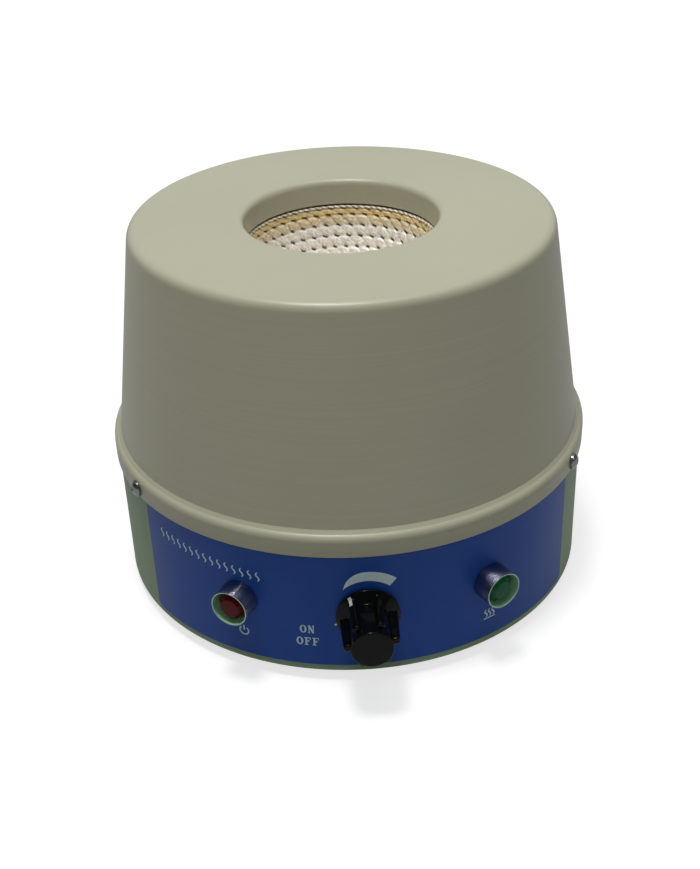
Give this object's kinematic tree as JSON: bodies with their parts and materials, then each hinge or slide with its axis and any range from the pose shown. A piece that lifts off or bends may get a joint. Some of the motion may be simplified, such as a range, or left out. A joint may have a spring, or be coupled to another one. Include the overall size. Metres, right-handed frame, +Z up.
{
  "type": "heating mantle",
  "caption": "Bench heating mantle: conical spun shell, woven hemispherical heating bowl, shallow base with a control film, indicator lamps and a rotary power knob.",
  "frame": {"origin": "on the shell's axis, at the level the three feet stand on", "axes": "+Z up along the shell's axis, -Y towards the control knob, +X to the right of someone facing the knob"},
  "size_m": [0.23, 0.256, 0.1793],
  "materials": {
    "shell_paint": "satin beige-grey enamel",
    "pan_paint": "satin beige-grey enamel",
    "panel_film": "printed blue film, satin gloss",
    "black_moulding": "gloss black phenolic",
    "dark_moulding": "matt black moulding",
    "plated_steel": "bright plated",
    "zinc_steel": "zinc plated",
    "red_lens": "clear red moulding",
    "green_lens": "clear green moulding",
    "rubber": "matt black rubber",
    "glass_yarn": "knitted glass yarn",
    "mineral_wool": "packed mineral wool",
    "bare_aluminium": "bare sheet",
    "board_laminate": "green laminate",
    "white_moulding": "white ceramic and nylon",
    "brass": "plain"
  },
  "bodies": {
    "housing": {"base_pan": "pan_paint", "board_nuts": "zinc_steel", "board_posts": "white_moulding", "board_screws": "zinc_steel", "bowl_hem": "glass_yarn", "control_board": "board_laminate", "control_panel": "panel_film", "earth_nut": "zinc_steel", "earth_screw": "zinc_steel", "foot_nuts": "zinc_steel", "foot_screws": "zinc_steel", "green_lamp_bezel": "plated_steel", "green_lamp_lens": "green_lens", "green_lamp_nut": "plated_steel", "green_lamp_tube": "dark_moulding", "heat_shield": "bare_aluminium", "heat_sink": "bare_aluminium", "heater_lead_left": "glass_yarn", "heater_lead_right": "glass_yarn", "heating_bowl": "glass_yarn", "inlet_housing": "dark_moulding", "inlet_nuts": "zinc_steel", "inlet_pins": "brass", "inlet_screws": "zinc_steel", "insulation_wool": "mineral_wool", "pot_body": "dark_moulding", "pot_nut": "plated_steel", "pot_washer": "zinc_steel", "red_lamp_bezel": "plated_steel", "red_lamp_lens": "red_lens", "red_lamp_nut": "plated_steel", "red_lamp_tube": "dark_moulding", "rubber_foot_1": "rubber", "rubber_foot_2": "rubber", "rubber_foot_3": "rubber", "shell_nuts": "zinc_steel", "shell_screws": "plated_steel", "shield_nuts": "zinc_steel", "shield_screws": "zinc_steel", "shield_spacers": "zinc_steel", "terminal_block": "white_moulding", "terminal_inserts": "brass", "terminal_nut": "zinc_steel", "terminal_screw": "zinc_steel", "triac": "dark_moulding", "upper_shell": "shell_paint"},
    "dial": {"control_knob": "black_moulding", "pot_shaft": "zinc_steel", "knob_set_screw": "zinc_steel"}
  },
  "joints": [
    {"name": "knob_turn", "type": "hinge", "parent": "housing", "child": "dial", "pos_m": [0, -0.114, 0.038], "axis": [0, 1, 0], "range_deg": [-74, 226]}
  ]
}
